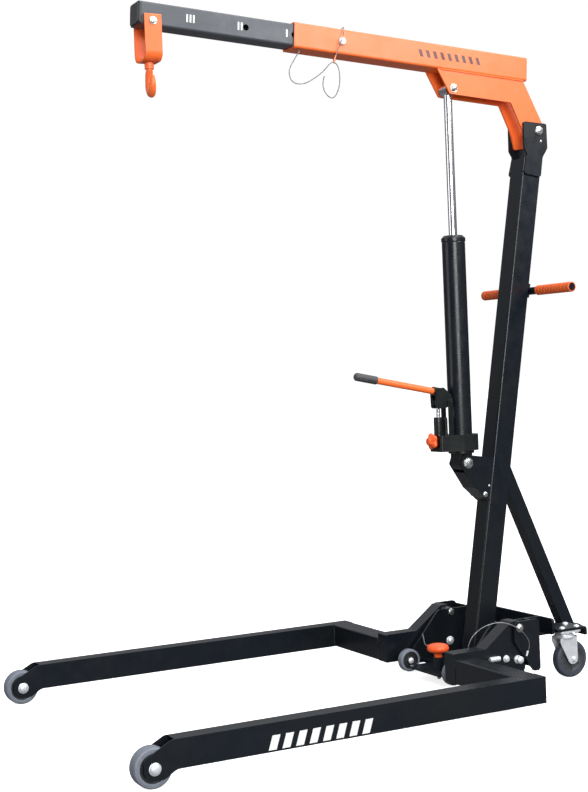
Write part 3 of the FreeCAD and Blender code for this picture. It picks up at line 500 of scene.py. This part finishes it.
def mast_cross_bolts():
    """The boom's and the ram's pivot bolts, with the domed heads near them."""
    bm = bmesh.new()
    through_bolt(bm, at(CLEVIS_FACE, *PIVOT), 24, 8, 14, 9.5)
    through_bolt(bm, at(BRACKET_FACE, *RAM_FOOT), 26, 8, 16.8, 10)
    for side in (-1, 1):
        add_dome(bm, at(side * BRACKET_FACE, 1336, 566), (side, 0, 0), 9, 5)
        add_dome(bm, at(side * BRACKET_FACE, 1352, 592), (side, 0, 0), 4.2, 2.4)
        add_dome(bm, at(side * CLEVIS_FACE, 1594, 1668), (side, 0, 0), 5, 3)
    bolts = keep(new_object("mast_cross_bolts", bm, 30), "base", BOLT)
    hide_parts("frame_bolts")


def ram_end_bolts():
    """The two short bolts that hold the ram's rod between the boom arm's plates."""
    bm = bmesh.new()
    for side in (-1, 1):
        out = (side, 0, 0)
        add_washer(bm, at(side * 34.5, *RAM_TOP), out, 13.4, 8, 1.6)
        add_nut(bm, at(side * 36, *RAM_TOP), out, 19, 6.4, 5.5)
        add_shaft(bm, at(side * 28.3, *RAM_TOP), out, 7.95, 0, 6.4)
    bolts = keep(new_object("ram_end_bolts", bm, 30), "boom", BOLT)
    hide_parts("ram_top_bolts")


def strap_bolt():
    """The bolt that the hook's strap hangs from, with a spacer inside each of its cheeks."""
    bm = bmesh.new()
    through_bolt(bm, on_boom(42.3, *STRAP_BOLT), 17, 6, 11.5, 7)
    for side in (-1, 1):
        add_spacer(bm, on_boom(side * 32.4, *STRAP_BOLT), (side, 0, 0), 6, 10, 4.3, 36)
    bolts = keep(new_object("strap_bolt", bm, 30), "extension", BOLT)
    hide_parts("hook_pin")


def fold_hinge_bolts():
    """The bolts that the legs fold about: a domed head outside and a lock nut inside."""
    washer = 2
    bm = bmesh.new()
    for side in (-1, 1):
        out = (side, 0, 0)
        head = at(side * 226, *FOLD_HINGE)
        inner_end = at(side * 144, *FOLD_HINGE)
        add_washer(bm, head, out, 12.8, 8, washer)
        add_dome(bm, head + Vector((side * washer / 1000, 0, 0)), out, 11, 6)
        add_nut(bm, inner_end, (-side, 0, 0), 20, 8, 7)
        add_shaft(bm, inner_end, out, 7.9, 0, 82)
        add_spacer(bm, at(side * 152, *FOLD_HINGE), out, 8, 14, 13.4, 40)
    bolts = keep(new_object("fold_hinge_bolts", bm, 30), "base", BOLT)
    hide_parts("frame_bolts")


def shelf_bolts():
    """Four bolts round each caster's plate, and one more domed head on each ear."""
    spread = 27
    bm = bmesh.new()
    for side in (-1, 1):
        for dx in (-spread, spread):
            for dy in (-spread, spread):
                place = (side * (CASTER[0] + dx), CASTER[1] + dy)
                under = at(*place, SHELF_UNDER)
                add_dome(bm, at(*place, SHELF_TOP), (0, 0, 1), 9.2, 6)
                add_nut(bm, under, (0, 0, -1), 13, 6.4, 5)
                add_shaft(bm, under, (0, 0, 1), 5.1, 0, SHELF_TOP - SHELF_UNDER, 24)
        add_dome(bm, at(side * 154, 1456, SHELF_TOP), (0, 0, 1), 8.4, 6)
    bolts = keep(new_object("shelf_bolts", bm, 30), "base", ZINC)
    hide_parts("caster_bolts")


def parking_bolts():
    """The parking wheels' axles: a domed head inside, a spacer and a lock nut outside."""
    bm = bmesh.new()
    for side in (-1, 1):
        out = (side, 0, 0)
        head = at(side * 111.4, *PARKING_AXLE)
        add_dome(bm, head, (-side, 0, 0), 9.6, 5.8)
        add_shaft(bm, head, out, 5.95, 0, 40.5)
        add_spacer(bm, at(side * 136.6, *PARKING_AXLE), out, 6, 9.8, 7.4, 32)
        add_nut(bm, at(side * 152, *PARKING_AXLE), out, 16, 6.4, 5.4)
    bolts = keep(new_object("parking_bolts", bm, 30), "base", ZINC)
    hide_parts("frame_bolts")


def lock_bushings():
    """Bright caps inside the base plates, where the leg lock pins point."""
    bm = bmesh.new()
    for side in (-1, 1):
        add_washer(bm, at(side * 144, *LOCK_BUSHING), (-side, 0, 0), 14, 4, 1.4)
        add_cap(bm, at(side * 142.7, *LOCK_BUSHING), (-side, 0, 0), 12.6, 9)
    keep(new_object("lock_bushings", bm, 30), "base", ZINC)


# ---------------------------------------------------------------- wheels

def both_halves(half):
    """A closed ring section from (radius, along) points of one half, mirrored."""
    ring = [(r, -a) for r, a in half] + [(r, a) for r, a in half[::-1]]
    return ring + ring[:1]


def add_ribs(bm, middle, out, count, low, high, outline):
    """Adds a wheel's ribs on both faces, from low to high off its middle plane."""
    for face in (-1, 1):
        near, far = sorted((face * low, face * high))
        for k in range(count):
            turn = Matrix.Rotation(2 * math.pi * k / count, 4, "X")
            add_prism(bm, outline, near, far, Matrix.Translation(middle) @ turn @ facing(out))


def front_wheel(side, name):
    """A ribbed wheel with a grooved tread, and bright caps on its axle."""
    middle = at(side * FRONT_HUB[0], *FRONT_HUB[1:])
    out = (side, 0, 0)
    tread = both_halves([(36.1, 19.2), (38, 19.7), (42.6, 19.8), (43.2, 19.0), (44.0, 19.0),
                         (44.6, 19.8), (46.4, 19.5), (48.2, 18.4), (49.3, 16.4), (49.8, 13),
                         (49.95, 8), (49.6, 7.4), (49.6, 6.6), (49.95, 6)])
    tyre = turned(name + "_front_tread", tread, middle, out, 96, 32)
    keep(tyre, name + "_front_wheel", TYRE)
    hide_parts(name + "_front_tyre")
    bm = bmesh.new()
    section = both_halves([(6.1, 20.8), (12, 20.8), (14.6, 19.4), (15.2, 14), (27.5, 12.6),
                           (29, 15), (30, 18.6), (35.2, 18.9), (35.95, 18.2)])
    add_turned(bm, section, middle, out, 96)
    add_ribs(bm, middle, out, 8, 12, 17.6, [(14.6, -1.1), (29.6, -0.9), (29.6, 0.9), (14.6, 1.1)])
    hub = keep(new_object(name + "_front_hub_moulded", bm, 32), name + "_front_wheel", HUB)
    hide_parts(name + "_front_hub")
    half_axle = 26
    bm = bmesh.new()
    for face in (-1, 1):
        add_cap(bm, middle + Vector((face * half_axle / 1000, 0, 0)), (face, 0, 0), 15.8, 7.9)
    add_shaft(bm, middle, out, 5.95, -half_axle, half_axle)
    axle = keep(new_object(name + "_axle_caps", bm, 30), name + "_leg", ZINC)
    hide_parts(name + "_leg_wheel_axle")


def parking_wheel(side, name):
    """A small wheel low inside the base: a grey tread on a dished black hub."""
    middle = at(side * 124, *PARKING_AXLE)
    across = (1, 0, 0)
    section = both_halves([(27.2, 11.2), (28.5, 11.9), (32, 11.9), (33.8, 10.8), (34.8, 8.2),
                           (34.97, 4)])
    tread = turned(name + "_parking_tread", section, middle, across, 72, 32)
    keep(tread, name + "_parking_wheel", TYRE)
    bm = bmesh.new()
    section = both_halves([(6.1, 11.9), (10.6, 11.9), (12, 10.8), (12.4, 7.4), (24, 6.6),
                           (25, 10), (27.15, 10.8)])
    add_turned(bm, section, middle, across, 72)
    hub = keep(new_object(name + "_parking_hub", bm, 32), name + "_parking_wheel", HUB)
    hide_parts("parking_wheel_" + name)


def caster_wheel(hub_at, name):
    """A caster's dark tread and its ribbed grey hub."""
    across = (1, 0, 0)
    section = both_halves([(42.05, 13), (43, 14.6), (47, 14.9), (51.6, 14.6), (53.6, 13.9),
                           (55.6, 11.6), (56.9, 8.2), (57.4, 4), (57.45, 0.8), (57.2, 0.4)])
    tyre = turned(name + "_caster_tread", section, hub_at, across, 96, 32)
    keep(tyre, name + "_caster_wheel", TYRE_DARK)
    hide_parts("caster_tyre_" + name)
    bm = bmesh.new()
    section = both_halves([(6.1, 17.4), (11, 17.4), (12.8, 16.4), (13.2, 8.4), (17, 7), (34, 7),
                           (36.4, 9), (38, 12.4), (41.2, 12.9), (41.95, 12.2)])
    add_turned(bm, section, hub_at, across, 96)
    add_ribs(bm, hub_at, across, 6, 6.6, 11.6,
             [(12.6, -1.5), (37.6, -1.1), (37.6, 1.1), (12.6, 1.5)])
    hub = keep(new_object(name + "_caster_hub_moulded", bm, 32), name + "_caster_wheel",
               HUB_GREY)
    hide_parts("caster_hub_" + name)


def caster_yoke(swivel, hub_at, name):
    """A caster's pressed fork: its ball race, two cheeks, the bridge and the axle."""
    across = Vector((1, 0, 0))
    half_width = 21.9
    cheek_top = 129.6
    bm = bmesh.new()
    race = [(8.2, 124.2), (30, 124.2), (32.9, 126.4), (32.9, 129.6), (31.4, 131.4),
            (27.8, 132.2), (27.4, 135.6), (25.8, 136.5), (8.2, 136.5), (8.2, 124.2)]
    add_turned(bm, race, swivel.translation, (0, 0, 1), 72)
    cheek = [(-30.6, cheek_top), (-30.8, 116), (-29, 109), (-5, 62), (-1.6, 54), (3, 47.6),
             (10, 43.8), (18, 43.2), (26, 45.6), (31, 51.5), (32.8, 59), (32.8, cheek_top)]
    on_edge = Matrix(((0, 0, 1, 0), (1, 0, 0, 0), (0, 1, 0, 0), (0, 0, 0, 1)))
    for low in (-21.8, 18.2):
        add_prism(bm, cheek, low, low + 3.6, swivel @ on_edge)
    bridge = [(-21.8, -30), (21.8, -30), (21.8, 31.8), (-21.8, 31.8)]
    add_prism(bm, bridge, 126.2, 129.4, swivel)
    for face in (-1, 1):
        out = across * face
        add_washer(bm, hub_at + out * (half_width / 1000), out, 9, 5.5, 1.3)
        add_nut(bm, hub_at + out * ((half_width + 1.2) / 1000), out, 13, 5.8, 4.6)
    add_shaft(bm, hub_at, across, 5.9, -half_width, half_width, 28)
    fork = new_object(name + "_caster_yoke", bm, 32)
    round_off(fork, 0.9, 50, 2)
    keep(fork, name + "_caster", ZINC)
    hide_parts("caster_fork_" + name)


def caster(side, name):
    """A swivel caster, whose wheel trails a little behind its swivel axis."""
    trail = 0.018
    hub_height = 0.0575
    swivel = Matrix.Translation(at(side * CASTER[0], CASTER[1], 0))
    hub_at = swivel @ Vector((0, trail, hub_height))
    caster_wheel(hub_at, name)
    caster_yoke(swivel, hub_at, name)


# ---------------------------------------------------------------- wire lanyards

def crimp(name, start, end, radius, mat, body):
    """A pressed sleeve on a wire, with three flats rolled into it."""
    way = end - start
    tall = way.length * 1000
    shape = [(0, 0), (radius * 0.8, 0), (radius, tall * 0.08)]
    for k in range(3):
        flat = tall * (0.16 + 0.26 * k)
        shape += [(radius, flat), (radius * 0.86, flat + tall * 0.05),
                  (radius * 0.86, flat + tall * 0.13), (radius, flat + tall * 0.18)]
    shape += [(radius * 0.8, tall), (0, tall)]
    return keep(turned(name, shape, start, way, 28, 30), body, mat)


def wire_line(name, points, thick, body, around, along):
    """A round wire on one smooth line with these control points."""
    curve = bpy.data.curves.new(name, "CURVE")
    curve.dimensions = "3D"
    curve.bevel_depth = thick / 2000
    curve.bevel_resolution = around
    curve.use_fill_caps = True
    spline = curve.splines.new("NURBS")
    spline.points.add(len(points) - 1)
    for spot, point in zip(spline.points, points):
        spot.co = (*point, 1)
    spline.order_u = 3
    spline.use_endpoint_u = True
    spline.resolution_u = along
    obj = bpy.data.objects.new(name, curve)
    bpy.context.scene.collection.objects.link(obj)
    return keep(obj, body, WIRE)


def wire_cord(name, node, body, route):
    """A limp wire on one smooth line through the route of its own node."""
    points = [at(*point) for point in route]
    wire = wire_line(name, points, WIRE_THICK, body, 4, 12)
    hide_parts(node)


def crimps():
    """One sleeve on each lanyard, by name of the lanyard's place."""
    return {
        "boom": crimp("boom_wire_crimp", at(41, 852, 1871), at(41, 860, 1893), 3.6, COPPER, "boom"),
        "leg": crimp("leg_wire_crimp", at(242, 1323, 112), at(240, 1319, 97), 3.3, ZINC,
                     "left_leg"),
        "pin": crimp("pin_wire_crimp", at(-24, 1138, 109.6), at(-7, 1138, 111), 3.2, COPPER,
                     "base")}


def pin_keeper_wire():
    """A thin wire from the boom's crimp up and over the boom's edge. It rides with the pin."""
    wire_line("pin_keeper_wire", [
        at(41, 861, 1892), at(42, 867, 1910), at(49.4, 876, 1932), at(49.8, 885, 1950),
        at(43, 890, 1967), at(40.4, 892, 1977), at(34, 893, 1980), at(24, 893, 1976)],
        2.4, "boom_lock", 5, 10)


def lanyards():
    """The three lanyards, with their crimps and the boom pin's keeper wire."""
    sleeve = crimps()
    pin_keeper_wire()
    wire_cord("boom_wire", "boom_lanyard", "boom", [
        (38, 742, 1899), (39, 722, 1872), (39, 702, 1838), (40, 712, 1806), (41, 748, 1802),
        (41, 786, 1822), (40, 820, 1846), (40, 846, 1876), (42, 866, 1868), (43, 872, 1832),
        (42, 866, 1792), (41, 846, 1764), (40, 822, 1778), (39, 812, 1808), (37, 822, 1832)])
    wire_cord("leg_wire", "leg_lanyard", "left_leg", [
        (199, 1138, 131.8), (203, 1140, 156), (210, 1162, 184), (219, 1200, 203),
        (230, 1242, 206), (239, 1284, 190), (244, 1318, 160), (245, 1332, 126),
        (240, 1319, 98)])
    wire_cord("pin_wire", "pin_lanyard", "base", [
        (-140, 1196, 104), (-124, 1186, 122), (-100, 1170, 134), (-72, 1156, 128),
        (-48, 1144, 112), (-26, 1138, 108), (-6, 1138, 111)])


# ---------------------------------------------------------------- marks, welds, small parts

BARS_LOW = 181                  # the boom's bars, above the line through its pivot
BARS_HIGH = 203


def add_bars(bm, place, face, starts, width, low, high, slant, sides=(-1, 1)):
    """Thin raised bars on the side faces at x = +face and x = -face."""
    under_face = 0.3
    over_face = 0.25
    for side in sides:
        for start in starts:
            outline = [(start, low), (start + width, low),
                       (start + width + slant, high), (start + slant, high)]
            under = [bm.verts.new(place(side * (face - under_face), a, b)) for a, b in outline]
            upper = [bm.verts.new(place(side * (face + over_face), a, b)) for a, b in outline]
            bm.faces.new(under[::-1])
            bm.faces.new(upper)
            for k in range(4):
                bm.faces.new([under[k], under[(k + 1) % 4], upper[(k + 1) % 4], upper[k]])


def boom_side_bars():
    """A row of slanted dark bars on both sides of the boom."""
    bm = bmesh.new()
    add_bars(bm, on_boom, BOOM_FACE, range(222, 436, 26), 12, BARS_LOW, BARS_HIGH, 8)
    keep(new_object("boom_side_bars", bm, 0), "boom", MARK_DARK)


def leg_bars(side, name):
    """A row of slanted white bars along a leg's outer face."""
    bm = bmesh.new()
    add_bars(bm, at, LEG_FACE, range(300, 590, 38), 22, 46, 82, 12, (side,))
    keep(new_object(name + "_leg_bars", bm, 0), name + "_leg", MARK_WHITE)


def reach_tally_bars():
    """Three, two and one upright bars along the sliding boom."""
    bm = bmesh.new()
    for first, count in ((1184, 3), (1036, 2), (892, 1)):
        starts = [first + 10 * k for k in range(count)]
        add_bars(bm, on_boom, SLIDING_FACE, starts, 5, BARS_LOW, BARS_HIGH, 0)
    keep(new_object("reach_tally_bars", bm, 0), "extension", MARK_WHITE)


def side_welds(side, name):
    """The weld beads of one side: leg corner, hinge arm, shelf and boom arm."""
    leg_low = 46
    leg_high = 108
    weld(name + "_leg_corner_weld", at(side * 504.5, 1076.5, leg_low),
         at(side * 504.5, 1076.5, leg_high), 2.6, name + "_leg")
    weld(name + "_leg_arm_weld", at(side * 217, 1076.8, leg_low),
         at(side * 217, 1076.8, leg_high), 2.4, name + "_leg")
    weld(name + "_shelf_weld", at(side * 146, 1446.5, 158.6), at(side * 212, 1446.5, 158.6),
         2.4, "base")
    weld(name + "_boom_arm_weld", on_boom(side * 35.6, 366, 152.6),
         on_boom(side * 35.6, 60, 152.6), 2.4, "boom", ORANGE)


def arm_fittings(side, name):
    """The bright sleeve and the nut on a hinge arm's outer face."""
    bm = bmesh.new()
    add_turned(bm, [(0, 0), (5.6, 0), (7.6, 1.2), (7.6, 34.8), (5.6, 36), (0, 36)],
               at(side * 224, 1197, 98), (0, 1, 0), 32)
    add_washer(bm, at(side * 216, 1262, 92), (side, 0, 0), 11, 5, 1.8)
    add_nut(bm, at(side * 217.6, 1262, 92), (side, 0, 0), 16, 8, 5)
    keep(new_object(name + "_arm_fittings", bm, 30), name + "_leg", ZINC)


def parking_pin():
    """The parking lock's pin: a dished knob, a black shank and a bright tip."""
    foot = at(*PARKING_PIN, 0)
    up = (0, 0, 1)
    knob = turned("parking_disc_knob", [
        (6.1, 84.4), (12, 84.4), (12, 90), (12.8, 95.5), (15.6, 98.6), (27, 101), (31.6, 103.6),
        (33.8, 108.4), (33.6, 113), (31.4, 118), (27, 121.6), (18, 124.2), (9, 125.6), (0, 126)],
        foot, up, 72, 40)
    keep(knob, "parking_lock", KNOB)
    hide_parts("parking_pin")
    shank = turned("parking_pin_shank", [
        (0, 26), (5.95, 26), (5.95, 40), (5.3, 40.6), (5.3, 43), (5.95, 43.6), (5.95, 86),
        (0, 86)], foot, up, 40, 35)
    keep(shank, "parking_lock", BLACK)
    tip = turned("parking_pin_tip", [(0, 17), (4.4, 17), (5.9, 20), (5.9, 26), (0, 26)],
                 foot, up, 40, 35)
    keep(tip, "parking_lock", ZINC)


def five_lobes(turn, radius):
    """Draws the release knob's rim in between its five fingers."""
    return 1 - 0.095 * (1 + math.cos(5 * turn)) if radius > 12 else 1


def release_star():
    """The ram's release knob, a five-fingered star with a stepped boss."""
    knob = turned("release_star", [
        (0, 0), (9, 0), (9, 5), (23, 5), (24.6, 6.2), (26, 9), (26, 13), (24, 15.6), (16, 19),
        (12.6, 22), (11.6, 25.6), (9, 27.4), (0, 28)],
        at(0, 1180.6, 740), (0, -1, 0), 96, 40, five_lobes)
    keep(knob, "release", KNOB)
    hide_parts("release_knob")


# ---------------------------------------------------------------- stage, light, camera

def seen_or_not(tree, seen, unseen):
    """One shader for what the lens sees directly, another for light and reflections."""
    path = tree.nodes.new("ShaderNodeLightPath")
    mix = tree.nodes.new("ShaderNodeMixShader")
    tree.links.new(path.outputs["Is Camera Ray"], mix.inputs[0])
    tree.links.new(unseen, mix.inputs[1])
    tree.links.new(seen, mix.inputs[2])
    return mix.outputs[0]


def stage_floor():
    """A wide pale floor, which reflects only a little light onto the crane."""
    reach = 40
    bm = bmesh.new()
    corners = [bm.verts.new((x * reach, y * reach, 0))
               for x, y in ((-1, -1), (1, -1), (1, 1), (-1, 1))]
    bm.faces.new(corners)
    floor = new_object("studio_floor", bm, 0)
    mat, tree, bsdf = new_material("studio_floor")
    bsdf.inputs["Base Color"].default_value = (0.8, 0.8, 0.8, 1)
    bsdf.inputs["Roughness"].default_value = 0.9
    bsdf.inputs["Specular IOR Level"].default_value = 0.1
    bsdf.inputs["Emission Color"].default_value = (1, 1, 1, 1)
    bsdf.inputs["Emission Strength"].default_value = 0.78
    dim = tree.nodes.new("ShaderNodeBsdfDiffuse")
    dim.inputs[0].default_value = (0.16, 0.16, 0.165, 1)
    out = next(node for node in tree.nodes if node.type == "OUTPUT_MATERIAL")
    tree.links.new(seen_or_not(tree, bsdf.outputs[0], dim.outputs[0]), out.inputs[0])
    floor.data.materials.append(mat)


def soft_light(name, point, target, size, power):
    """A white area light at a point, turned to a target; metres and watts."""
    lamp = bpy.data.lights.new(name, "AREA")
    lamp.shape = "RECTANGLE"
    lamp.size = size[0]
    lamp.size_y = size[1]
    lamp.energy = power
    obj = bpy.data.objects.new(name, lamp)
    obj.location = point
    obj.rotation_euler = (Vector(target) - Vector(point)).to_track_quat("-Z", "Y").to_euler()
    bpy.context.scene.collection.objects.link(obj)


def studio_sky():
    """White to the lens; for light and reflections dim at the horizon and bright above."""
    world = bpy.data.worlds.new("studio")
    world.use_nodes = True
    tree = world.node_tree
    tree.nodes.clear()
    coord = tree.nodes.new("ShaderNodeTexCoord")
    split = tree.nodes.new("ShaderNodeSeparateXYZ")
    tree.links.new(coord.outputs["Generated"], split.inputs[0])
    ramp = tree.nodes.new("ShaderNodeValToRGB")
    stops = ramp.color_ramp.elements
    stops[0].position = 0.0
    stops[0].color = (0.10, 0.10, 0.11, 1)
    stops[1].position = 1.0
    stops[1].color = (0.95, 0.96, 1.0, 1)
    for spot, level in ((0.48, 0.13), (0.60, 0.22), (0.76, 0.6)):
        stop = stops.new(spot)
        stop.color = (level, level * 1.01, level * 1.06, 1)
    tree.links.new(remap(tree, split.outputs["Z"], -1.0, 1.0, 0.0, 1.0), ramp.inputs[0])
    dim = tree.nodes.new("ShaderNodeBackground")
    tree.links.new(ramp.outputs[0], dim.inputs[0])
    dim.inputs[1].default_value = 1.0
    bright = tree.nodes.new("ShaderNodeBackground")
    bright.inputs[0].default_value = (1, 1, 1, 1)
    bright.inputs[1].default_value = 1.02
    out = tree.nodes.new("ShaderNodeOutputWorld")
    tree.links.new(seen_or_not(tree, bright.outputs[0], dim.outputs[0]), out.inputs[0])
    bpy.context.scene.world = world


def studio():
    """A white studio with large soft lights, brightest on the crane's left."""
    middle = (0, 0.1, 1.0)
    stage_floor()
    studio_sky()
    soft_light("key", (5.4, -1.6, 2.3), middle, (2.6, 3.0), 270)
    soft_light("haze", (4.4, 2.8, 3.5), (0, -0.2, 1.9), (2.4, 1.1), 120)
    soft_light("top", (1.5, 1.4, 5.0), middle, (3.0, 3.4), 130)
    soft_light("front", (-1.6, -5.2, 1.6), middle, (2.6, 2.6), 38)
    soft_light("rear", (-3.5, 4.4, 3.4), middle, (3, 3), 14)
    bpy.context.scene.view_settings.view_transform = "Standard"


def camera():
    """A camera in front and to the left, near mid height, almost level."""
    turn = math.radians(62.57)
    down = math.radians(1.18)
    roll = math.radians(-2.33)
    place = at(3706.5, -1225.3, 987.4)
    sensor = 36
    focal_length = 65.03182
    back = Vector((math.sin(turn) * math.cos(down), -math.cos(turn) * math.cos(down),
                   math.sin(down)))
    right = Vector((math.cos(turn), math.sin(turn), 0))
    up = back.cross(right)
    across = right * math.cos(roll) + up * math.sin(roll)
    upward = up * math.cos(roll) - right * math.sin(roll)
    lens = bpy.data.cameras.new("camera")
    lens.sensor_width = sensor
    lens.lens = focal_length
    lens.clip_end = 200
    obj = bpy.data.objects.new("camera", lens)
    basis = Matrix((across, upward, back)).transposed().to_4x4()
    obj.matrix_world = Matrix.Translation(place) @ basis
    bpy.context.scene.collection.objects.link(obj)
    bpy.context.scene.camera = obj


# ---------------------------------------------------------------- the whole crane

dress_nodes()
mast_cross_bolts()
ram_end_bolts()
strap_bolt()
fold_hinge_bolts()
shelf_bolts()
parking_bolts()
lock_bushings()
for side, name in SIDES:
    front_wheel(side, name)
for side, name in SIDES:
    parking_wheel(side, name)
for side, name in SIDES:
    caster(side, name)
lanyards()
boom_side_bars()
for side, name in SIDES:
    leg_bars(side, name)
reach_tally_bars()
for side, name in SIDES:
    side_welds(side, name)
for side, name in SIDES:
    arm_fittings(side, name)
parking_pin()
release_star()
studio()
camera()
